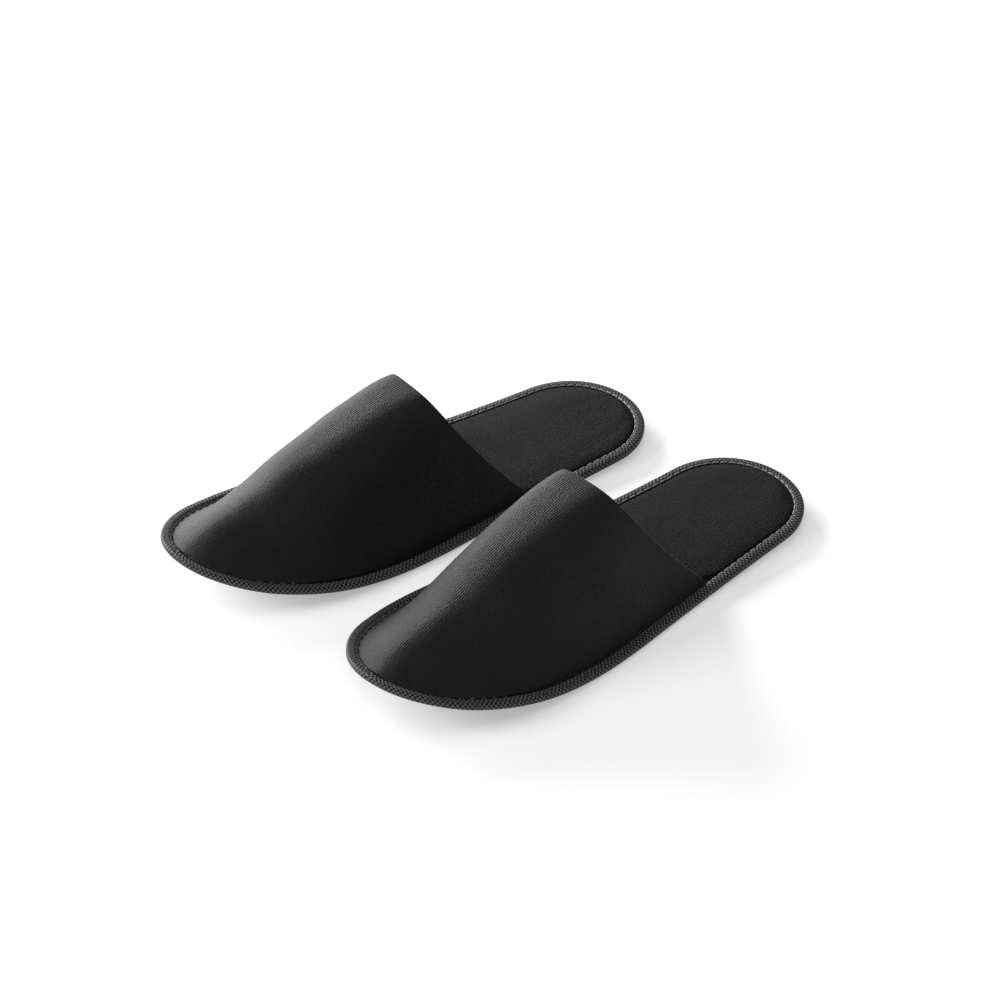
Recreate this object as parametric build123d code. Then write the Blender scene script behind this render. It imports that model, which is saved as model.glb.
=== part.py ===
from build123d import *
from math import acos, atan2, cos, hypot, pi, radians, sin, sqrt
import os

# A pair of closed-toe spa slippers lying side by side. Millimetres, +X towards the toes, +Y to the wearer's
# left, +Z up, origin under the middle of the pair on the floor. Each slipper is modelled in its own frame,
# toe along +X and origin at mid-length, and is then turned and moved to its place.

# ---- Outline of a slipper, the same for both feet ----
LENGTH = 290.0
# Each half is a chain of tangent arcs from the toe tip to the waist: (radius, turn in degrees). The waist is
# hollow, so its radius is negative. A corner arc and an arc round the heel close the chain.
OUTLINE_ARCS = [(39.0, 37.0), (66.0, 30.2), (134.0, 21.0), (365.0, 9.4), (-1550.0, 4.1)]
HEEL_CORNER_RADIUS = 39.0

# ---- Side profile of the sole: flat under the ball, curled up to the toe and a little to the heel ----
FLAT_START, FLAT_END = -8.0, 28.0
TOE_CURL_RADIUS = 322.0
HEEL_CURL_RADIUS = 2165.0
TOE_CURL_ANGLE = 25.0
HEEL_CURL_ANGLE = 4.2

# ---- Thickness of the sole, as heights above its underside ----
TAPE_BOTTOM = 0.5
TAPE = 0.5
OUTSOLE_TOP = 1.9
FOAM_TOP_FRONT, FOAM_TOP_HEEL = 3.2, 3.7
COVER = 0.6
FLANGE = 0.5
EDGE_TOP = 4.8
PAD_TOP = 5.0

# ---- Insets from the outline ----
TAPE_WALL = 0.9
TAPE_WIDTH = 5.7
UPPER_INSET = 5.9
PAD_INSET_FRONT, PAD_INSET_HEEL = 9.4, 6.0

# ---- Upper: sections across the slipper, straight flanks under a round ridge ----
# (station x, height above the sole edge, half-width at the sole, radius of the ridge)
UPPER_SECTIONS = [
    (-75.0, 69.0, 39.5, 24.0),
    (5.0, 68.5, 47.5, 25.0),
    (60.0, 51.0, 51.0, 20.0),
    (100.0, 27.5, 46.0, 15.0),
    (150.0, 5.0, 36.0, 11.0),
]
ARCH_FOOT = 6.0
OUTER_FABRIC, INTERLINING, LINING = 0.8, 1.2, 0.6

# ---- Throat, the mouth of the upper: an arc that leans forward, seen from the side ----
THROAT_FOOT = (-49.5, 5.0)
THROAT_TOP = (0.3, 74.0)
THROAT_RADIUS = 300.0
HEM_EDGE, HEM_TURN, HEM_FABRIC = 1.2, 12.0, 0.5

# ---- Flex line across the sole, behind the throat ----
FLEX_X, FLEX_Z = -64.0, 6.2
FLEX_GAP = 0.15
FLEX_DROOP = 10.0

# ---- Sewing threads along the tape ----
THREAD_INSET, THREAD_WIDTH, THREAD_HEIGHT = 4.6, 0.5, 0.33
THREAD_CLEAR = 0.02

# ---- Place of each slipper: (centre x, centre y, turn of the toe towards +Y in degrees) ----
PLACES = {"left": (-6.84, 61.47, 3.69), "right": (6.84, -61.47, -3.69)}

ROOM = 200.0
TOP = 140.0


def outline_arcs():
    """Arcs of the +Y half, toe first: (centre x, centre y, signed radius, start angle, end angle)."""
    arcs = []
    centre_x, centre_y, angle = LENGTH / 2 - OUTLINE_ARCS[0][0], 0.0, 0.0
    previous = OUTLINE_ARCS[0][0]
    for radius, turn in OUTLINE_ARCS:
        centre_x += (previous - radius) * cos(angle)
        centre_y += (previous - radius) * sin(angle)
        end = angle + (radians(turn) if radius > 0 else -radians(turn))
        arcs.append((centre_x, centre_y, radius, angle, end))
        angle, previous = end, radius
    corner = HEEL_CORNER_RADIUS
    centre_x += (previous - corner) * cos(angle)
    centre_y += (previous - corner) * sin(angle)
    # The heel arc is centred on the long axis, ends at the heel and is tangent to the corner arc.
    reach = centre_x + LENGTH / 2
    heel = (reach**2 + centre_y**2 - corner**2) / (2 * (reach - corner))
    heel_x = heel - LENGTH / 2
    side = 1 if heel > corner else -1
    meet = atan2(side * centre_y, side * (centre_x - heel_x))
    arcs.append((centre_x, centre_y, corner, angle, meet))
    arcs.append((heel_x, 0.0, heel, meet, pi))
    return arcs


def on_arc(arc, angle, inset):
    """Point of an outline arc at an angle, moved inwards by the inset."""
    centre_x, centre_y, radius = arc[:3]
    return (centre_x + (radius - inset) * cos(angle), centre_y + (radius - inset) * sin(angle))


def prism(inset):
    """Upright block whose plan is the outline moved inwards by the inset."""
    edges = []
    for arc in outline_arcs():
        start, end = arc[3], arc[4]
        points = [on_arc(arc, a, inset) for a in (start, (start + end) / 2, end)]
        edges.append(ThreePointArc(*points))
        edges.append(ThreePointArc(*[(x, -y) for x, y in points]))
    return extrude(Pos(0, 0, -ROOM / 2) * make_face(Curve() + edges), ROOM + TOP)


def side_prism(edges):
    """Solid with the given side view, right across the slipper."""
    return extrude(Plane.XZ * make_face(Curve() + edges), ROOM, both=True)


def sole_line(height):
    """Points of the sole's side profile at a height above its underside: heel arc, flat and toe arc."""
    heel, toe = HEEL_CURL_RADIUS - height, TOE_CURL_RADIUS - height
    heel_points = []
    for share in (1.0, 0.5, 0.0):
        turn = radians(HEEL_CURL_ANGLE * share)
        heel_points.append((FLAT_START - heel * sin(turn), HEEL_CURL_RADIUS - heel * cos(turn)))
    toe_points = []
    for share in (0.0, 0.5, 1.0):
        turn = radians(TOE_CURL_ANGLE * share)
        toe_points.append((FLAT_END + toe * sin(turn), TOE_CURL_RADIUS - toe * cos(turn)))
    return heel_points, toe_points


def sole_edges(height):
    """The sole's side profile at a height, as edges."""
    heel_points, toe_points = sole_line(height)
    flat = Line(heel_points[-1], toe_points[0])
    return [ThreePointArc(*heel_points), flat, ThreePointArc(*toe_points)]


def slab(low, high):
    """Layer of the curled sole between two heights above its underside."""
    low_heel, low_toe = sole_line(low)
    high_heel, high_toe = sole_line(high)
    ends = [Line(low_toe[-1], high_toe[-1]), Line(high_heel[0], low_heel[0])]
    return side_prism(sole_edges(low) + sole_edges(high) + ends)


def above(height):
    """Everything over a height above the sole's underside."""
    heel_points, toe_points = sole_line(height)
    heel_end, toe_end = heel_points[0], toe_points[-1]
    lid = Polyline(toe_end, (toe_end[0], TOP), (heel_end[0], TOP), heel_end)
    return side_prism(sole_edges(height) + [lid])


def sole_height(x):
    """Height of the sole's underside over the floor at a station."""
    if x > FLAT_END:
        return TOE_CURL_RADIUS - sqrt(TOE_CURL_RADIUS**2 - (x - FLAT_END) ** 2)
    if x < FLAT_START:
        return HEEL_CURL_RADIUS - sqrt(HEEL_CURL_RADIUS**2 - (x - FLAT_START) ** 2)
    return 0.0


def ahead_of_throat(shift):
    """Everything in front of the throat surface, moved forward by the shift."""
    (foot_x, foot_z), (top_x, top_z) = THROAT_FOOT, THROAT_TOP
    chord = hypot(top_x - foot_x, top_z - foot_z)
    back = sqrt(THROAT_RADIUS**2 - chord**2 / 4) / chord
    centre_x = (foot_x + top_x) / 2 - back * (top_z - foot_z) + shift
    centre_z = (foot_z + top_z) / 2 + back * (top_x - foot_x)
    points = []
    for z in (-20.0, 40.0, 100.0):
        points.append((centre_x + sqrt(THROAT_RADIUS**2 - (z - centre_z) ** 2), z))
    front = Polyline(points[2], (ROOM, points[2][1]), (ROOM, points[0][1]), points[0])
    return side_prism([ThreePointArc(*points), front])


def flank_lean(height, half_width, radius):
    """Angle between the vertical and a flank that starts at the sole and is tangent to the ridge."""
    rise = height - radius
    return acos(radius / hypot(half_width, rise)) - atan2(rise, half_width)


def arch(inward):
    """Solid under the upper's arch, made smaller by a thickness, before the outline trims it."""
    sections = []
    for x, full_height, full_width, full_radius in UPPER_SECTIONS:
        height, half_width, radius = full_height - inward, full_width - inward, full_radius - inward
        base = sole_height(x) + EDGE_TOP
        lean = flank_lean(height, half_width, radius)
        foot, sole = (half_width, base - ARCH_FOOT), (half_width, base)
        crest_base = base + height - radius
        shoulder = (radius * cos(lean), crest_base + radius * sin(lean))
        crest = (0.0, base + height)
        left = [(-y, z) for y, z in (shoulder, sole, foot)]
        edges = [Line(foot, sole), Line(sole, shoulder), ThreePointArc(shoulder, crest, left[0])]
        edges += [Line(left[0], left[1]), Line(left[1], left[2]), Line(left[2], foot)]
        sections.append(Plane.YZ.offset(x) * make_face(Curve() + edges))
    return loft(sections, ruled=True)


def arch_inside(inward):
    """The arch trimmed to the outline and to the sole's edge stack."""
    edge_stack = FOAM_TOP_FRONT + COVER
    return arch(inward) & prism(UPPER_INSET + inward) & above(edge_stack)


def ring(outer, inner, low, high):
    """Band of the sole between two insets and two heights."""
    return (prism(outer) - prism(inner)) & slab(low, high)


def plate(inset, low, high):
    """Layer of the sole inside an inset, between two heights."""
    return prism(inset) & slab(low, high)


def front_side():
    """Everything in front of the flex line."""
    x = FLEX_X + FLEX_GAP
    return side_prism([Polyline((x, -ROOM), (ROOM, -ROOM), (ROOM, TOP), (x, TOP), close=True)])


def heel_side():
    """Everything behind the flex line, cut back underneath so that the heel can also droop."""
    x = FLEX_X - FLEX_GAP
    low = -ROOM / 4
    slant = x - (FLEX_Z - low) * sin(radians(FLEX_DROOP))
    return side_prism([Polyline((x, TOP), (x, FLEX_Z), (slant, low), (-ROOM, low), (-ROOM, TOP), close=True)])


def sole_pieces():
    """Sole layers and edge tape, each in a front and a heel part that meet at the flex line."""
    front, heel = front_side(), heel_side()
    outsole = plate(TAPE_WALL, TAPE_BOTTOM + TAPE, OUTSOLE_TOP) + plate(UPPER_INSET, 0, OUTSOLE_TOP)
    tape = plate(0, TAPE_BOTTOM, EDGE_TOP)
    tape -= plate(TAPE_WALL, TAPE_BOTTOM + TAPE, EDGE_TOP - TAPE)
    tape -= prism(TAPE_WIDTH)
    pieces = {
        "outsole_front": outsole & front,
        "outsole_heel": outsole & heel,
        "edge_binding_front": tape & front,
        "edge_binding_heel": tape & heel,
    }
    layers = {
        "front": (front, FOAM_TOP_FRONT, PAD_INSET_FRONT),
        "heel": (heel, FOAM_TOP_HEEL, PAD_INSET_HEEL),
    }
    for end, (side, foam_top, pad_inset) in layers.items():
        pad = plate(pad_inset + COVER, OUTSOLE_TOP, PAD_TOP - COVER)
        foam = plate(TAPE_WALL, OUTSOLE_TOP, foam_top) + pad
        cover = plate(TAPE_WALL, foam_top, foam_top + COVER) + plate(pad_inset, foam_top, PAD_TOP) - pad
        pieces["midsole_foam_" + end] = foam & side
        pieces["insole_cover_" + end] = cover & side
    return pieces


def upper_pieces():
    """Outer fabric with its sewn-in flange, interlining, lining and the hem turned in at the throat."""
    depths = [0.0, OUTER_FABRIC, OUTER_FABRIC + INTERLINING, OUTER_FABRIC + INTERLINING + LINING]
    depths.append(depths[-1] + HEM_FABRIC)
    arches = [arch_inside(depth) for depth in depths]
    at_edge, behind_hem = ahead_of_throat(0), ahead_of_throat(HEM_EDGE)
    flange_bottom = FOAM_TOP_FRONT + COVER
    flange = ring(TAPE_WALL, UPPER_INSET + OUTER_FABRIC, flange_bottom, flange_bottom + FLANGE)
    hem = (arches[0] - arches[3]) & (at_edge - behind_hem)
    hem += (arches[3] - arches[4]) & (at_edge - ahead_of_throat(HEM_TURN))
    return {
        "upper_outer_fabric": ((arches[0] - arches[1]) + flange) & behind_hem,
        "upper_interlining": (arches[1] - arches[2]) & behind_hem,
        "upper_lining": (arches[2] - arches[3]) & behind_hem,
        "throat_hem": hem,
    }


def thread_pieces():
    """Needle thread in its groove on top of the tape and bobbin thread under it, front and heel."""
    inner, outer = THREAD_INSET + THREAD_WIDTH / 2, THREAD_INSET - THREAD_WIDTH / 2
    low, high = THREAD_CLEAR, THREAD_CLEAR + THREAD_HEIGHT
    threads = {
        "needle_thread": ring(outer, inner, EDGE_TOP + low, EDGE_TOP + high),
        "bobbin_thread": ring(outer, inner, TAPE_BOTTOM - high, TAPE_BOTTOM - low),
    }
    front, heel = front_side(), heel_side()
    pieces = {}
    for name, thread in threads.items():
        pieces[name + "_front"] = thread & front
        pieces[name + "_heel"] = thread & heel
    return pieces


os.makedirs("parts", exist_ok=True)
slipper = {**sole_pieces(), **upper_pieces(), **thread_pieces()}
for foot, (place_x, place_y, turn) in PLACES.items():
    place = Pos(place_x, place_y, 0) * Rot(0, 0, turn)
    for piece, shape in slipper.items():
        export_step(place * shape, f"parts/{foot}_{piece}.step")
print("nodes", len(slipper) * len(PLACES))
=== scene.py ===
import bmesh
import bpy
import math
import numpy as np
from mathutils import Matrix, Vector


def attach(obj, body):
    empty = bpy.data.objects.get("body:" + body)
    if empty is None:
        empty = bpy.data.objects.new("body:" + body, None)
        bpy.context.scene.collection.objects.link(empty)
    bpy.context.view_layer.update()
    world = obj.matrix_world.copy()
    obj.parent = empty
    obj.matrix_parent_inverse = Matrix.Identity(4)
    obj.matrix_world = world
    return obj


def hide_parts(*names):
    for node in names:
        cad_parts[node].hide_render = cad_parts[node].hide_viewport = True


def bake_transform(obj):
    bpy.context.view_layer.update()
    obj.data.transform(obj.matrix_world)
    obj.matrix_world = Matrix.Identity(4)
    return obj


# A pair of closed-toe spa slippers. Every shape is worked out in a slipper's own frame, in millimetres (toe
# along +X, origin on the floor at mid-length), and is then put in its place in the row frame, in metres.

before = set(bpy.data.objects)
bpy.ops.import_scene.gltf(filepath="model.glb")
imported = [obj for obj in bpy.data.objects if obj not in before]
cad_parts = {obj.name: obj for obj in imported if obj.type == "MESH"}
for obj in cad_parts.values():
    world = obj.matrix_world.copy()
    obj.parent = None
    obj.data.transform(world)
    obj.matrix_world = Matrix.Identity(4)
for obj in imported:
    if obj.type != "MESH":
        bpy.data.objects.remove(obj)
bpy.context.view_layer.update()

MM = 0.001

# ---- The slipper's driving dimensions, as in the CAD model ----
LENGTH = 290.0
OUTLINE_ARCS = [(39.0, 37.0), (66.0, 30.2), (134.0, 21.0), (365.0, 9.4), (-1550.0, 4.1)]
HEEL_CORNER_RADIUS = 39.0
FLAT_START, FLAT_END = -8.0, 28.0
TOE_CURL_RADIUS, HEEL_CURL_RADIUS = 322.0, 2165.0
PLACES = {"left": (-6.84, 61.47, 3.69), "right": (6.84, -61.47, -3.69)}

# ---- Upper: height of the ridge over the sole edge at stations along the slipper ----
RIDGE_STATIONS = (-60.0, 0.0, 30.0, 60.0, 85.0, 105.0, 125.0)
RIDGE_HEIGHTS = {
    "left": (67.8, 67.6, 62.0, 51.0, 35.6, 25.0, 13.3),
    "right": (68.5, 68.5, 62.4, 51.3, 38.6, 24.9, 13.3),
}
RIDGE_END_HEIGHT = 0.6
ARCH_THROAT, ARCH_TOE, ARCH_TOE_X = 3.33, 1.8, 100.0
ARCH_POWER = 0.727
SEAM_INSET, SEAM_LEVEL = 6.0, 3.9
TOE_TIP_GAP = 0.05
THROAT_FOOT_X, THROAT_TOP_X, THROAT_BOW = -49.4, 0.3, 0.3
FOLD_RADIUS = 1.25
HEM_TURN = 12.0
OUTER_FABRIC = 0.7
INNER_LAYERS = {"interlining": (0.75, 1.2), "lining": (1.25, 1.8)}

# ---- Unevenness of the cloth: depths, then lengths ----
BROAD_DENTS, BROAD_LENGTH = {"left": 0.16, "right": 0.3}, 75.0
SMALL_DENTS, SMALL_LENGTH = 0.16, 26.0
CREASE_DEPTH, CREASE_X = {"left": 0.45, "right": 0.9}, {"left": 96.0, "right": 92.0}
CREASE_WIDTH, CREASE_SLANT = 7.0, 0.25
CREASE_Y, CREASE_SPREAD = -14.0, 16.0
PUCKER = 0.22
TAPE_WAVER, TAPE_WAVER_LENGTH = 0.06, 37.0
INSOLE_CROWN = 0.85
INSOLE_BROAD, INSOLE_BROAD_LENGTH = 0.22, 60.0
INSOLE_SMALL, INSOLE_SMALL_LENGTH = 0.07, 14.0

# ---- Seeds ----
SEED = 7
UPPER_SEED = {"left": 1, "right": 2}
SMALL_DENTS_SEED = 10
TAPE_SEED = 5
INSOLE_SEED = {"left": 30, "right": 40}
STITCH_SEED = {"left": 0, "right": 5}

# ---- Sole and tape ----
EDGE_TOP, EDGE_BOTTOM = 4.9, 0.45
TAPE, TAPE_WIDTH = 0.5, 5.2
BEAD = 1.9
BEAD_SQUARE_IN, BEAD_SQUARE_UP = 0.75, 0.8
TAPE_CROWN, TAPE_TUCK, TAPE_UNDERLIFT = 0.12, 1.2, 0.1
STITCH_INSET, STITCH_PITCH, STITCH_LENGTH, STITCH_RADIUS = 5.0, 5.2, 4.7, 0.32
STITCH_RISE, STITCH_SINK, STITCH_TAPER = 0.12, 0.42, 0.35
STITCH_STRAY, STITCH_UNEVENNESS = 0.12, 0.06
STITCH_HIDDEN_DROP = 0.8
NEEDLE_LEVEL, BOBBIN_LEVEL = 4.62, 0.52

# Edge profiles, from the top down: (inset, height). The insole's insets are added to its edge's inset.
INSOLE_EDGE, INSOLE_UNDER_UPPER = 5.5, 2.9
INSOLE_PROFILE = [(6.5, 5.25), (4.5, 5.15), (3.2, 5.02), (2.2, 4.85), (1.4, 4.62), (0.8, 4.36), (0.3, 4.05),
                  (0.0, 3.75), (0.4, 3.5)]
MIDSOLE_PROFILE = [(2.0, 3.4), (1.4, 3.3), (1.2, 2.9), (1.2, 2.2), (1.4, 1.95)]
OUTSOLE_PROFILE = [(2.0, 1.9), (1.3, 1.8), (1.2, 1.2), (5.75, 1.05), (5.8, 0.5), (6.1, 0.12), (6.8, 0.0)]

# ---- Mesh density ----
AROUND = 920
UPPER_ROWS, UPPER_COLUMNS = 150, 121
COLUMN_POWER, ROW_POWER = 1.6, 1.5
FLAP_RINGS, FLAP_POWER = 13, 1.4
BEAD_RINGS = 15
PLATE_RINGS, PLATE_POWER = 26, 1.25
SPINE_SHARE, SPINE_REACH = 0.62, 78.0
FOLD_ROWS, HEM_ROW_LENGTH = 10, 0.6
STITCH_RINGS, STITCH_SIDES = 7, 8
STITCH_CLOTH_TURN = 0.3
WELD = 0.00002


# ======== Shape of the slipper ========

def outline_arcs():
    """Arcs of the +Y half, toe first: (centre x, centre y, signed radius, start angle, end angle)."""
    arcs = []
    centre_x, centre_y, angle = LENGTH / 2 - OUTLINE_ARCS[0][0], 0.0, 0.0
    previous = OUTLINE_ARCS[0][0]
    for radius, turn in OUTLINE_ARCS:
        centre_x += (previous - radius) * math.cos(angle)
        centre_y += (previous - radius) * math.sin(angle)
        end = angle + math.copysign(math.radians(turn), radius)
        arcs.append((centre_x, centre_y, radius, angle, end))
        angle, previous = end, radius
    corner = HEEL_CORNER_RADIUS
    centre_x += (previous - corner) * math.cos(angle)
    centre_y += (previous - corner) * math.sin(angle)
    reach = centre_x + LENGTH / 2
    heel = (reach**2 + centre_y**2 - corner**2) / (2 * (reach - corner))
    heel_x = heel - LENGTH / 2
    side = 1 if heel > corner else -1
    meet = math.atan2(side * centre_y, side * (centre_x - heel_x))
    arcs.append((centre_x, centre_y, corner, angle, meet))
    arcs.append((heel_x, 0.0, heel, meet, math.pi))
    return arcs


def outline(count):
    """Points evenly spaced round the outline from the toe tip, their outward normals and the perimeter."""
    arcs = outline_arcs()
    lengths = [abs(radius) * abs(end - start) for _, _, radius, start, end in arcs]
    ends = np.cumsum(lengths)
    half = ends[-1]
    distance = np.arange(count) * 2 * half / count
    folded = np.where(distance <= half, distance, 2 * half - distance)
    which = np.minimum(np.searchsorted(ends, folded), len(arcs) - 1)
    points, normals = np.zeros((count, 2)), np.zeros((count, 2))
    for i, k in enumerate(which):
        centre_x, centre_y, radius, start, end = arcs[k]
        share = (folded[i] - (ends[k] - lengths[k])) / lengths[k]
        angle = start + (end - start) * share
        side = 1 if distance[i] <= half else -1
        normals[i] = math.cos(angle), side * math.sin(angle)
        points[i] = centre_x + radius * math.cos(angle), side * (centre_y + radius * math.sin(angle))
    return points, normals, 2 * half


OUTLINE, NORMALS, PERIMETER = outline(AROUND)
ALONG_OUTLINE = np.arange(AROUND) * PERIMETER / AROUND


def inset(amount):
    """The outline moved inwards. amount is one number or one for each point."""
    return OUTLINE - NORMALS * np.reshape(amount, (-1, 1))


def sole_level(x, height):
    """Height over the floor of a layer of the curled sole."""
    x = np.asarray(x, float)
    toe = TOE_CURL_RADIUS - np.sqrt(np.maximum((TOE_CURL_RADIUS - height) ** 2 - (x - FLAT_END) ** 2, 0))
    heel = HEEL_CURL_RADIUS - np.sqrt((HEEL_CURL_RADIUS - height) ** 2 - (x - FLAT_START) ** 2)
    return np.where(x > FLAT_END, toe, np.where(x < FLAT_START, heel, height))


def smoothstep(x, low, high):
    """0 below low, 1 above high, smooth between."""
    t = np.clip((np.asarray(x, float) - low) / (high - low), 0, 1)
    return t * t * (3 - 2 * t)


def waves(x, y, size, seed, count=14):
    """Soft uneven surface from -1 to 1, made of seeded waves about size long."""
    random = np.random.default_rng(SEED + seed)
    total = np.zeros(np.broadcast(x, y).shape)
    for _ in range(count):
        turn, phase = random.uniform(0, 2 * math.pi, 2)
        length = size * random.uniform(0.7, 1.8)
        total += np.sin(2 * math.pi * (x * math.cos(turn) + y * math.sin(turn)) / length + phase)
    return total / math.sqrt(count * 2)


def unit(vectors):
    return vectors / np.maximum(np.linalg.norm(vectors, axis=-1, keepdims=True), 1e-9)


def ridge_curve(foot):
    """Smooth height of the ridge as a function of x."""
    stations = np.array([*RIDGE_STATIONS, LENGTH / 2 - SEAM_INSET])
    heights = np.array([*RIDGE_HEIGHTS[foot], RIDGE_END_HEIGHT])
    slopes = np.gradient(heights, stations)
    slopes[0] = slopes[1] = 0.0

    def height(x):
        x = np.clip(x, stations[0], stations[-1])
        k = np.clip(np.searchsorted(stations, x, side="right") - 1, 0, len(stations) - 2)
        step = stations[k + 1] - stations[k]
        t = (x - stations[k]) / step
        return ((2 * t**3 - 3 * t**2 + 1) * heights[k] + (t**3 - 2 * t**2 + t) * step * slopes[k]
                + (3 * t**2 - 2 * t**3) * heights[k + 1] + (t**3 - t**2) * step * slopes[k + 1])

    return height


def seam_half_width(x):
    """Half-width of the seam between upper and tape."""
    seam = inset(SEAM_INSET)[: AROUND // 2 + 1]
    order = np.argsort(seam[:, 0])
    return np.interp(x, seam[order, 0], seam[order, 1])


def upper_surface(foot):
    """Outer surface of the upper as a grid (rows from throat to toe, columns from left to right)."""
    across = np.linspace(1, -1, UPPER_COLUMNS)
    level = 1 - np.abs(across) ** COLUMN_POWER
    along = 1 - (1 - np.linspace(0, 1, UPPER_ROWS)) ** ROW_POWER
    throat = THROAT_FOOT_X + (THROAT_TOP_X - THROAT_FOOT_X) * (level + THROAT_BOW * level * (1 - level))
    toe_x = LENGTH / 2 - SEAM_INSET - TOE_TIP_GAP
    x = throat[None] + (toe_x - throat[None]) * along[:, None]
    level = np.broadcast_to(level, x.shape)
    roundness = ARCH_THROAT + (ARCH_TOE - ARCH_THROAT) * np.clip(x / ARCH_TOE_X, 0, 1)
    y = np.sign(across) * seam_half_width(x) * (1 - level**ARCH_POWER) ** (1 / roundness)
    z = sole_level(x, SEAM_LEVEL) + ridge_curve(foot)(x) * level
    grid = np.stack([x, y, z], -1)
    soft = smoothstep(level, 0.02, 0.25) * smoothstep(LENGTH / 2 - x, 8, 40)
    return grid + grid_normals(grid) * upper_dents(foot, grid, soft)[..., None]


def upper_dents(foot, grid, soft):
    """How far the cloth of the upper stands out of its smooth shape. soft is 0 at its borders."""
    x, y, z = grid[..., 0], grid[..., 1], grid[..., 2]
    seed = UPPER_SEED[foot]
    broad = BROAD_DENTS[foot] * waves(x, y * 1.3 + z, BROAD_LENGTH, seed)
    small = SMALL_DENTS * waves(x, y + z, SMALL_LENGTH, seed + SMALL_DENTS_SEED)
    past_crease = x - CREASE_X[foot] - CREASE_SLANT * y
    crease = CREASE_DEPTH[foot] * np.exp(-(past_crease / CREASE_WIDTH) ** 2)
    crease *= np.exp(-((y - CREASE_Y) / CREASE_SPREAD) ** 2)
    at_seam = 1 - smoothstep(np.abs(z - sole_level(x, SEAM_LEVEL)), 0.5, 4.5)
    pucker = PUCKER * at_seam * (0.5 + 0.5 * np.cos(2 * math.pi * x / STITCH_PITCH))
    return (broad + small - crease) * soft - pucker


def grid_normals(grid):
    """Unit normals of a grid of points, pointing out of the slipper."""
    normal = unit(np.cross(np.gradient(grid, axis=0), np.gradient(grid, axis=1)))
    middle = normal[normal.shape[0] // 3, normal.shape[1] // 2]
    return normal if middle[2] > 0 else -normal


# ======== Meshes ========

def to_row(foot, points):
    """From a slipper's own frame, in millimetres, to the row frame, in metres."""
    place_x, place_y, turn = PLACES[foot]
    turn = math.radians(turn)
    x, y = points[..., 0], points[..., 1]
    row_x = place_x + x * math.cos(turn) - y * math.sin(turn)
    row_y = place_y + x * math.sin(turn) + y * math.cos(turn)
    return np.stack([row_x, row_y, points[..., 2]], -1) * MM


def make_object(foot, name, points, faces, cloth, weld=0.0):
    """A mesh object named after its foot, with a UV map in millimetres of cloth, one pair for each corner."""
    mesh = bpy.data.meshes.new(f"{foot}_{name}")
    mesh.from_pydata(to_row(foot, points).reshape(-1, 3).tolist(), [], faces)
    layer = mesh.uv_layers.new(name="cloth")
    layer.data.foreach_set("uv", np.asarray(cloth, np.float32).ravel())
    mesh.shade_smooth()
    mesh.update()
    obj = bpy.data.objects.new(mesh.name, mesh)
    bpy.context.scene.collection.objects.link(obj)
    face_outwards(mesh, weld)
    return obj


def face_outwards(mesh, weld):
    """Turns every face outwards. With a weld distance, joins the points that meet and drops empty faces."""
    work = bmesh.new()
    work.from_mesh(mesh)
    if weld:
        bmesh.ops.remove_doubles(work, verts=work.verts, dist=weld)
        bmesh.ops.dissolve_degenerate(work, edges=work.edges, dist=weld / 2)
    bmesh.ops.recalc_face_normals(work, faces=work.faces)
    work.to_mesh(mesh)
    work.free()
    mesh.update()


def grid_faces(rows, columns, start=0, wrap_columns=False, wrap_rows=False, flip=False):
    """Quads of a grid of points, and for each corner its row and column, not wrapped, for the UV map."""
    faces, corners = [], []
    for i in range(rows if wrap_rows else rows - 1):
        for j in range(columns if wrap_columns else columns - 1):
            quad = [(i, j), (i + 1, j), (i + 1, j + 1), (i, j + 1)]
            if flip:
                quad.reverse()
            faces.append([start + (r % rows) * columns + c % columns for r, c in quad])
            corners.extend(quad)
    return faces, corners


def plate(foot, name, profile, crown=None):
    """Closed plate: rings from the middle of its top, over its edge, to the middle of its underside.

    profile lists the rings of the edge as (inset, height), each a number or an array along the outline.
    Towards the middle the rings shrink to a line, so that each keeps the same number of points. crown(x, y)
    is added to the height of the top.
    """
    edge = [np.column_stack([inset(i), h + np.zeros(AROUND)]) for i, h in profile]
    shares = [(k / PLATE_RINGS) ** PLATE_POWER for k in range(1, PLATE_RINGS + 1)]
    caps = []
    for ring in (edge[0], edge[-1]):
        spine_x = np.clip(ring[:, 0] * SPINE_SHARE, -SPINE_REACH, SPINE_REACH)
        spine = np.column_stack([spine_x, np.zeros(AROUND), ring[:, 2]])
        caps.append([ring + (spine - ring) * share for share in shares])
    points = np.array(caps[0][::-1] + edge + caps[1])
    points[..., 2] += sole_level(points[..., 0], 0)
    if crown:
        top = points[: PLATE_RINGS + len(edge) // 2]
        top[..., 2] += crown(top[..., 0], top[..., 1])
    faces, corners = grid_faces(len(points), AROUND, wrap_columns=True)
    rows, columns = np.array(corners).T
    return make_object(foot, name, points, faces, points[rows, columns % AROUND, :2], weld=WELD)


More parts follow.
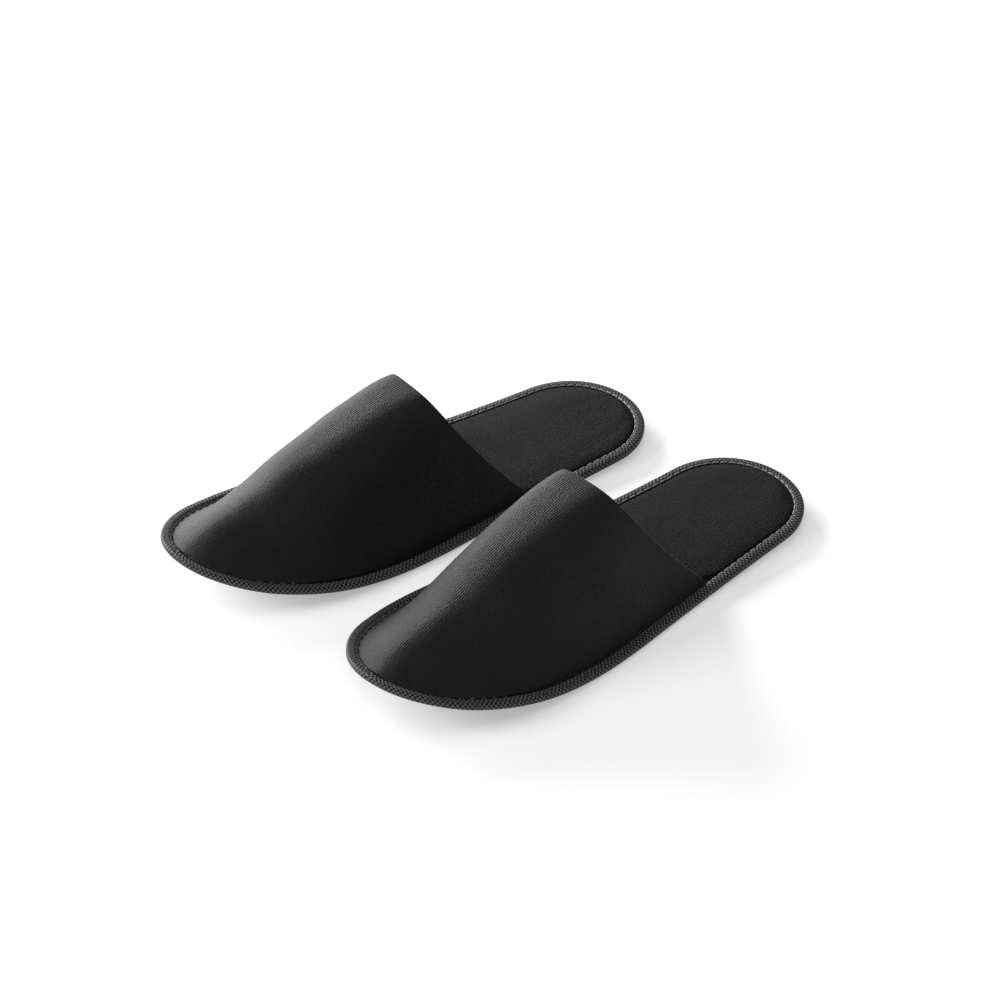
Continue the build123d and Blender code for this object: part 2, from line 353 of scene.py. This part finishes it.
def sheet_solid(foot, name, outside, inside, cloth):
    """Closed thin solid between two grids of points. cloth gives each point's place on the flat cloth."""
    rows, columns = outside.shape[:2]
    behind = rows * columns
    front, front_corners = grid_faces(rows, columns)
    back, back_corners = grid_faces(rows, columns, start=behind, flip=True)
    rim, rim_corners = [], []
    border = [(0, c) for c in range(columns)] + [(r, columns - 1) for r in range(1, rows)]
    border += [(rows - 1, c) for c in range(columns - 2, -1, -1)] + [(r, 0) for r in range(rows - 2, 0, -1)]
    for a, b in zip(border, border[1:] + border[:1]):
        ia, ib = a[0] * columns + a[1], b[0] * columns + b[1]
        rim.append([ia, ib, ib + behind, ia + behind])
        rim_corners.extend([a, b, b, a])
    points = np.concatenate([outside.reshape(-1, 3), inside.reshape(-1, 3)])
    corner_rows, corner_columns = np.array(front_corners + back_corners + rim_corners).T
    return make_object(foot, name, points, front + back + rim, cloth[corner_rows, corner_columns], weld=WELD)


# ======== Pieces of the sole ========

def tape_section():
    """The tape's section as (inset, height): its outer face from the top seam down, and back up inside."""
    flap = BEAD + (TAPE_WIDTH - BEAD) * (1 - np.linspace(0, 1, FLAP_RINGS) ** FLAP_POWER)
    shares = (flap - BEAD) / (TAPE_WIDTH - BEAD)
    outer = [(i, EDGE_TOP + TAPE_CROWN * math.sin(math.pi * share) - TAPE_TUCK * share**9)
             for i, share in zip(flap, shares)]
    middle, rise = (EDGE_TOP + EDGE_BOTTOM) / 2, (EDGE_TOP - EDGE_BOTTOM) / 2
    for turn in np.linspace(math.pi / 2, -math.pi / 2, BEAD_RINGS)[1:-1]:
        # A squared-off round: the tape is pulled flat over the side of the sole.
        c, s = math.cos(turn), math.sin(turn)
        up = math.copysign(abs(s) ** BEAD_SQUARE_UP, s)
        outer.append((BEAD * (1 - abs(c) ** BEAD_SQUARE_IN), middle + rise * up))
    outer += [(i, EDGE_BOTTOM + TAPE_UNDERLIFT * share**4) for i, share in zip(flap[::-1], shares[::-1])]
    outer = np.array(outer)
    step = np.gradient(outer, axis=0)
    step /= np.linalg.norm(step, axis=1, keepdims=True)
    inner = outer + np.stack([-step[:, 1], step[:, 0]], 1) * TAPE
    return np.concatenate([outer, inner[::-1]])


def edge_binding(foot):
    """Woven tape folded round the edge: a rounded bead outside, flat flaps that end in the seam grooves."""
    section = tape_section()
    middle = (EDGE_TOP + EDGE_BOTTOM) / 2
    between_stitches = 0.5 - 0.5 * np.cos(2 * math.pi * ALONG_OUTLINE / STITCH_PITCH)
    waver = TAPE_WAVER * waves(ALONG_OUTLINE, 0 * ALONG_OUTLINE, TAPE_WAVER_LENGTH, TAPE_SEED)
    rings = []
    for i, h in section:
        pulled = PUCKER * math.exp(-((i - STITCH_INSET) / 0.8) ** 2) if h > middle else 0.0
        plan = inset(i + waver)
        level = h - pulled * (1 - between_stitches)
        rings.append(np.column_stack([plan, sole_level(plan[:, 0], 0) + level]))
    faces, corners = grid_faces(len(rings), AROUND, wrap_columns=True, wrap_rows=True)
    rows, columns = np.array(corners).T
    across = np.concatenate([[0], np.cumsum(np.linalg.norm(np.diff(section, axis=0), axis=1))])
    cloth = np.column_stack([columns * PERIMETER / AROUND, across[np.minimum(rows, len(across) - 1)]])
    return make_object(foot, "edge_binding_tape", np.array(rings), faces, cloth)


def insole(foot):
    """Padded insole under its knitted cover: tucked under the tape, rolling up to a soft, low crown."""
    seed = INSOLE_SEED[foot]
    edge = INSOLE_EDGE + INSOLE_UNDER_UPPER * smoothstep(OUTLINE[:, 0], -60.0, -47.0)

    def crown(x, y):
        from_edge = np.clip(1 - np.abs(y) / np.maximum(seam_half_width(x), 1), 0, 1)
        uneven = (INSOLE_BROAD * waves(x, y, INSOLE_BROAD_LENGTH, seed)
                  + INSOLE_SMALL * waves(x, y, INSOLE_SMALL_LENGTH, seed + 1))
        return INSOLE_CROWN * smoothstep(from_edge, 0.0, 0.5) + smoothstep(from_edge, 0.1, 0.35) * uneven

    profile = [(edge + further_in, height) for further_in, height in INSOLE_PROFILE]
    return plate(foot, "insole_pad", profile, crown)


def stitches(foot, name, level, upwards):
    """A row of stitches: short rounded bars of thread, sunk at their ends, in the groove by the tape."""
    count = int(round(PERIMETER / STITCH_PITCH))
    random = np.random.default_rng(SEED + (1 if upwards else 2) + STITCH_SEED[foot])
    plan = inset(STITCH_INSET)
    share = np.linspace(-1, 1, STITCH_RINGS)
    turns = 2 * math.pi * np.arange(STITCH_SIDES)[:, None] / STITCH_SIDES
    points, faces, cloth = [], [], []
    for k in range(count):
        centre = (k + 0.5) * PERIMETER / count + random.uniform(-STITCH_STRAY, STITCH_STRAY)
        along = centre + share / 2 * STITCH_LENGTH
        x = np.interp(along, ALONG_OUTLINE, plan[:, 0], period=PERIMETER)
        y = np.interp(along, ALONG_OUTLINE, plan[:, 1], period=PERIMETER)
        z = sole_level(x, 0) + level + (1 if upwards else -1) * (STITCH_RISE - STITCH_SINK * share**4)
        if upwards:
            z -= STITCH_HIDDEN_DROP * smoothstep(x, -52.0, -46.0)
        line = np.column_stack([x, y, z])
        tangent = unit(np.gradient(line, axis=0))
        side = unit(np.cross(tangent, [0, 0, 1]))
        up = np.cross(side, tangent)
        radius = STITCH_RADIUS * (1 - STITCH_TAPER * share**6)
        radius *= random.uniform(1 - STITCH_UNEVENNESS, 1 + STITCH_UNEVENNESS)
        round_it = side[:, None] * np.cos(turns) + up[:, None] * np.sin(turns)
        points.append(line[:, None] + radius[:, None, None] * round_it)
        first = k * STITCH_RINGS * STITCH_SIDES
        sides, corners = grid_faces(STITCH_RINGS, STITCH_SIDES, start=first, wrap_columns=True)
        last = first + (STITCH_RINGS - 1) * STITCH_SIDES
        ends = [list(range(first, first + STITCH_SIDES)), list(range(last, last + STITCH_SIDES))[::-1]]
        faces += sides + ends
        cloth += [(i * STITCH_LENGTH / STITCH_RINGS, t * STITCH_CLOTH_TURN) for i, t in corners]
        cloth += [(0.0, t * STITCH_CLOTH_TURN) for t in range(STITCH_SIDES)] * 2
    return make_object(foot, name, np.array(points), faces, cloth)


# ======== Pieces of the upper ========

def upper_pieces(foot):
    """Outer fabric with its turned hem, interlining and lining, each a thin closed solid."""
    outer = upper_surface(foot)
    normal = grid_normals(outer)
    cloth = cloth_map(outer)
    back = unit(outer[0] - outer[1])
    back = unit(back - normal[0] * (back * normal[0]).sum(-1, keepdims=True))
    centre = outer[0] - normal[0] * FOLD_RADIUS
    turns = np.linspace(math.pi, 0, FOLD_ROWS)[:-1, None, None]
    radial = normal[0] * np.cos(turns) + back * np.sin(turns)
    hem_rows = int(np.searchsorted(np.linalg.norm(outer - outer[0], axis=-1).mean(1), HEM_TURN))
    hem_out = (outer - normal * 2 * FOLD_RADIUS)[hem_rows:0:-1]
    hem_in = (outer - normal * (2 * FOLD_RADIUS - OUTER_FABRIC))[hem_rows:0:-1]
    fold_out, fold_in = (centre + radial * radius for radius in (FOLD_RADIUS, FOLD_RADIUS - OUTER_FABRIC))
    outside = np.concatenate([hem_out, fold_out, outer])
    inside = np.concatenate([hem_in, fold_in, outer - normal * OUTER_FABRIC])
    rows_before = len(outside) - len(outer)
    lead = np.repeat(cloth[:1], rows_before, axis=0)
    lead[..., 0] -= np.arange(rows_before, 0, -1)[:, None] * HEM_ROW_LENGTH
    pieces = {"fabric": sheet_solid(foot, "upper_fabric", outside, above_insole(inside),
                                    np.concatenate([lead, cloth]))}
    for layer, depths in INNER_LAYERS.items():
        near, far = (above_insole(outer - normal * depth)[1:] for depth in depths)
        pieces[layer] = sheet_solid(foot, f"upper_{layer}_cloth", near, far, cloth[1:])
    return pieces


def above_insole(grid):
    """Keeps the inner layers out of the insole."""
    kept = grid.copy()
    kept[..., 2] = np.maximum(kept[..., 2], sole_level(grid[..., 0], SEAM_LEVEL))
    return kept


def cloth_map(grid):
    """Place of each grid point on the flat cloth: distance along the slipper, and across from the ridge."""
    steps = np.linalg.norm(np.diff(grid, axis=1), axis=-1)
    across = np.concatenate([np.zeros((len(grid), 1)), np.cumsum(steps, axis=1)], axis=1)
    across -= across[:, across.shape[1] // 2][:, None]
    return np.stack([grid[..., 0], across], -1)


# ======== Materials ========

def principled(name, roughness, specular, sheen=0.0, sheen_roughness=0.5):
    """A node material with the constant values on the shader's own sockets, and its shader."""
    material = bpy.data.materials.new(name)
    material.use_nodes = True
    shader = material.node_tree.nodes["Principled BSDF"]
    shader.inputs["Roughness"].default_value = roughness
    shader.inputs["Specular IOR Level"].default_value = specular
    shader.inputs["Sheen Weight"].default_value = sheen
    shader.inputs["Sheen Roughness"].default_value = sheen_roughness
    return material, shader


class Weave:
    """A cloth's material. Its patterns are built by calls, with distances in millimetres on the cloth map."""

    def __init__(self, name, **look):
        self.material, self.shader = principled(name, **look)
        self.nodes, self.links = self.material.node_tree.nodes, self.material.node_tree.links
        place = self.nodes.new("ShaderNodeUVMap")
        place.uv_map = "cloth"
        self.place = place.outputs["UV"]
        split = self.nodes.new("ShaderNodeSeparateXYZ")
        self.links.new(self.place, split.inputs[0])
        self.along, self.across = split.outputs["X"], split.outputs["Y"]

    def math(self, operation, *values):
        """A math node whose inputs are sockets or numbers."""
        made = self.nodes.new("ShaderNodeMath")
        made.operation = operation
        for socket, value in zip(made.inputs, values):
            if isinstance(value, (int, float)):
                socket.default_value = value
            else:
                self.links.new(value, socket)
        return made.outputs[0]

    def mix(self, *terms):
        """Sum of sockets, each times its factor."""
        total = None
        for socket, factor in terms:
            part = self.math("MULTIPLY", socket, factor)
            total = part if total is None else self.math("ADD", total, part)
        return total

    def wave(self, distance, pitch):
        return self.math("SINE", self.math("MULTIPLY", distance, 2 * math.pi / pitch))

    def noise(self, scale, detail, roughness=0.55):
        made = self.nodes.new("ShaderNodeTexNoise")
        made.inputs["Scale"].default_value = scale
        made.inputs["Detail"].default_value = detail
        made.inputs["Roughness"].default_value = roughness
        self.links.new(self.place, made.inputs["Vector"])
        return made.outputs[0]

    def colour(self, socket, low, high, start=0.0, end=1.0):
        """Base colour from grey low at start to grey high at end."""
        ramp = self.nodes.new("ShaderNodeValToRGB")
        for element, value, position in zip(ramp.color_ramp.elements, (low, high), (start, end)):
            element.position = position
            element.color = (*grey(value), 1)
        self.links.new(socket, ramp.inputs[0])
        self.links.new(ramp.outputs[0], self.shader.inputs["Base Color"])

    def relief(self, height, strength, depth):
        """Bump of that depth in millimetres. Returns the finished material."""
        bump = self.nodes.new("ShaderNodeBump")
        bump.inputs["Strength"].default_value = strength
        bump.inputs["Distance"].default_value = depth * MM
        self.links.new(height, bump.inputs["Height"])
        self.links.new(bump.outputs[0], self.shader.inputs["Normal"])
        return self.material


def grey(value, tint=0.02):
    """A very slightly cool grey."""
    return (value, value * (1 + tint / 2), value * (1 + tint))


def ribbed_cloth():
    """Upper: brushed black cloth with fine ribs along the slipper."""
    cloth = Weave("ribbed_cloth", roughness=0.6, specular=0.15, sheen=0.18, sheen_roughness=0.3)
    ribs = cloth.wave(cloth.mix((cloth.across, 1.0), (cloth.noise(0.12, 2.0), 1.1)), 1.3)
    twill = cloth.wave(cloth.mix((cloth.along, 0.8), (cloth.across, 1.0)), 1.05)
    height = cloth.mix((ribs, 0.24), (twill, 0.12), (cloth.noise(0.6, 5.0, 0.7), 1.6))
    patches = cloth.noise(0.035, 3.0)
    cloth.colour(cloth.mix((height, 0.45), (patches, 0.4)), 0.002, 0.021, start=0.25, end=0.95)
    return cloth.relief(height, strength=0.7, depth=0.42)


def knitted_insole():
    """Insole cover: brushed knit, a little lighter than the upper."""
    cloth = Weave("knitted_insole", roughness=0.65, specular=0.07, sheen=0.03, sheen_roughness=0.3)
    knit = cloth.mix((cloth.wave(cloth.along, 1.5), 0.35), (cloth.wave(cloth.across, 1.3), 1.0))
    height = cloth.mix((knit, 0.15), (cloth.noise(0.5, 6.0, 0.8), 1.9))
    patches = cloth.noise(0.05, 3.0)
    cloth.colour(cloth.mix((height, 0.42), (patches, 0.3)), 0.0005, 0.0125, start=0.36, end=0.9)
    return cloth.relief(height, strength=1.0, depth=0.5)


def woven_tape():
    """Edge binding: tape whose crossed strands make a small diamond pattern of raised dots; the dots'
    brightness is partly a painted highlight.
    """
    cloth = Weave("woven_tape", roughness=0.5, specular=0.13)
    wobble = cloth.math("MULTIPLY", cloth.noise(0.3, 2.0), 0.5)
    across = cloth.math("MULTIPLY", cloth.math("ADD", cloth.across, wobble), 0.85)
    rising, falling = (cloth.math(operation, cloth.along, across) for operation in ("ADD", "SUBTRACT"))
    lattice = cloth.math("ADD", cloth.wave(rising, 2.4), cloth.wave(falling, 2.4))
    cells = cloth.math("MULTIPLY_ADD", lattice, 0.25, 0.5)
    height = cloth.mix((cells, 1.0), (cloth.wave(rising, 0.45), 0.06), (cloth.noise(0.8, 3.0), 0.3))
    # Colour follows the relief: the raised dots are painted light, a painted highlight on the dark woven
    # tape.
    cloth.colour(height, 0.003, 0.12, start=0.46)
    return cloth.relief(height, strength=0.8, depth=0.35)


def sewing_thread():
    """Thread: light grey, with its twist."""
    cloth = Weave("sewing_thread", roughness=0.45, specular=0.4)
    twist = cloth.wave(cloth.math("ADD", cloth.along, cloth.across), 0.6)
    height = cloth.math("MULTIPLY_ADD", twist, 0.5, 0.5)
    cloth.colour(height, 0.2, 0.4)
    return cloth.relief(height, strength=0.6, depth=0.12)


def foamed_rubber(name, low, high, pitch, strength):
    """Foamed EVA: matt, with a small raised pattern and pores."""
    cloth = Weave(name, roughness=0.7, specular=0.25)
    dots = cloth.math("MULTIPLY", cloth.wave(cloth.along, pitch), cloth.wave(cloth.across, pitch))
    height = cloth.mix((dots, 1.0), (cloth.noise(0.9, 3.0), 0.4))
    cloth.colour(cloth.math("MULTIPLY_ADD", height, 0.4, 0.4), low, high)
    return cloth.relief(height, strength, depth=0.4)


def smooth_lining(name, low, high):
    """Thin smooth cloth inside the upper."""
    cloth = Weave(name, roughness=0.75, specular=0.15, sheen=0.03)
    grid = cloth.math("MULTIPLY", cloth.wave(cloth.along, 0.9), cloth.wave(cloth.across, 0.9))
    height = cloth.mix((grid, 0.3), (cloth.noise(1.2, 3.0), 1.0))
    cloth.colour(height, low, high, start=0.1)
    return cloth.relief(height, strength=0.5, depth=0.3)


MATERIALS = {
    "upper_fabric": ribbed_cloth(),
    "insole_fabric": knitted_insole(),
    "binding_tape": woven_tape(),
    "thread": sewing_thread(),
    "eva_outsole": foamed_rubber("foamed_outsole", 0.012, 0.03, pitch=2.4, strength=0.6),
    "midsole_foam": foamed_rubber("midsole_foam", 0.03, 0.06, pitch=1.1, strength=0.2),
    "interlining": smooth_lining("interlining", 0.03, 0.07),
    "lining_fabric": smooth_lining("lining_cloth", 0.008, 0.022),
}


# ======== Assembly ========

def dress(obj, slot):
    obj.data.materials.append(MATERIALS[slot])


def bend_with_sole(obj, foot, node):
    """The piece runs the whole length of the sole and stands for both halves, which are hidden."""
    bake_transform(obj)
    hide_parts(f"{foot}_{node}_front", f"{foot}_{node}_heel")


def ride_on_forefoot(obj, foot, *nodes):
    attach(obj, f"{foot}_forefoot")
    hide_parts(*[f"{foot}_{node}" for node in nodes])


def build_slipper(foot):
    tape, pad = edge_binding(foot), insole(foot)
    midsole = plate(foot, "midsole_foam_layer", MIDSOLE_PROFILE)
    outsole = plate(foot, "outsole_sheet", OUTSOLE_PROFILE)
    needle = stitches(foot, "needle_stitches", NEEDLE_LEVEL, upwards=True)
    bobbin = stitches(foot, "bobbin_stitches", BOBBIN_LEVEL, upwards=False)
    for obj, slot, node in [(tape, "binding_tape", "edge_binding"), (pad, "insole_fabric", "insole_cover"),
                            (midsole, "midsole_foam", "midsole_foam"), (outsole, "eva_outsole", "outsole"),
                            (needle, "thread", "needle_thread"), (bobbin, "thread", "bobbin_thread")]:
        dress(obj, slot)
        bend_with_sole(obj, foot, node)

    cloths = upper_pieces(foot)
    fabric = cloths["fabric"]
    dress(fabric, "upper_fabric")
    ride_on_forefoot(fabric, foot, "upper_outer_fabric", "throat_hem")
    for layer, slot in (("interlining", "interlining"), ("lining", "lining_fabric")):
        dress(cloths[layer], slot)
        ride_on_forefoot(cloths[layer], foot, f"upper_{layer}")


for foot in PLACES:
    build_slipper(foot)


# ======== Floor, light and camera ========

FLOOR_HALF = 6.0
FLOOR_GREY, FLOOR_GLOW = 0.86, 0.36
WORLD_STRENGTH = 0.3

# The camera looks at a point on the floor between the slippers, from in front and to their left.
CAMERA_TARGET = Vector((-28.9, -30.1, 0.0)) * MM
CAMERA_AZIMUTH, CAMERA_ELEVATION = math.radians(140.33), math.radians(34.88)
CAMERA_DISTANCE, CAMERA_LENS, CAMERA_SENSOR = 1.7601, 120.3, 36.0

# Area lights: metres to the picture's left, away from the camera and up; width and height; power.
LIGHTS = {
    "key": ((2.2, 2.7, 0.9), (3.0, 1.5), 278.0),
    "side": ((2.6, -0.4, 1.3), (1.2, 1.2), 40.0),
    "top": ((0.0, 0.2, 3.2), (3.6, 3.6), 20.0),
}


def floor():
    material, shader = principled("pale_floor", roughness=0.9, specular=0.2)
    shader.inputs["Base Color"].default_value = (FLOOR_GREY, FLOOR_GREY, FLOOR_GREY, 1)
    shader.inputs["Emission Color"].default_value = (1, 1, 1, 1)
    shader.inputs["Emission Strength"].default_value = FLOOR_GLOW
    mesh = bpy.data.meshes.new("floor")
    corners = [(x * FLOOR_HALF, y * FLOOR_HALF, 0) for x, y in ((-1, -1), (1, -1), (1, 1), (-1, 1))]
    mesh.from_pydata(corners, [], [(0, 1, 2, 3)])
    mesh.materials.append(material)
    obj = bpy.data.objects.new("floor", mesh)
    bpy.context.scene.collection.objects.link(obj)


def camera():
    across = math.cos(CAMERA_ELEVATION)
    back = Vector((math.sin(CAMERA_AZIMUTH) * across, -math.cos(CAMERA_AZIMUTH) * across,
                   math.sin(CAMERA_ELEVATION)))
    data = bpy.data.cameras.new("camera")
    data.lens, data.sensor_width = CAMERA_LENS, CAMERA_SENSOR
    data.clip_start, data.clip_end = 0.05, 30.0
    obj = bpy.data.objects.new("camera", data)
    obj.location = CAMERA_TARGET + back * CAMERA_DISTANCE
    obj.rotation_euler = back.to_track_quat("Z", "Y").to_euler()
    bpy.context.scene.collection.objects.link(obj)
    bpy.context.scene.camera = obj


def soft_light(name, place, size, power):
    """Area light aimed at the slippers. place is to the picture's left, away from the camera and up."""
    left, away, up = place
    right = Vector((math.cos(CAMERA_AZIMUTH), math.sin(CAMERA_AZIMUTH), 0))
    behind = Vector((-math.sin(CAMERA_AZIMUTH), math.cos(CAMERA_AZIMUTH), 0))
    data = bpy.data.lights.new(name, "AREA")
    data.shape, data.energy = "ELLIPSE", power
    data.size, data.size_y = size
    obj = bpy.data.objects.new(name, data)
    obj.location = -right * left + behind * away + Vector((0, 0, up))
    obj.rotation_euler = obj.location.to_track_quat("Z", "Y").to_euler()
    bpy.context.scene.collection.objects.link(obj)


def studio():
    floor()
    camera()
    for name, (place, size, power) in LIGHTS.items():
        soft_light(name, place, size, power)
    world = bpy.data.worlds.new("studio")
    world.use_nodes = True
    background = world.node_tree.nodes["Background"]
    background.inputs["Color"].default_value = (1, 1, 1, 1)
    background.inputs["Strength"].default_value = WORLD_STRENGTH
    bpy.context.scene.world = world
    bpy.context.scene.view_settings.view_transform = "Standard"


studio()
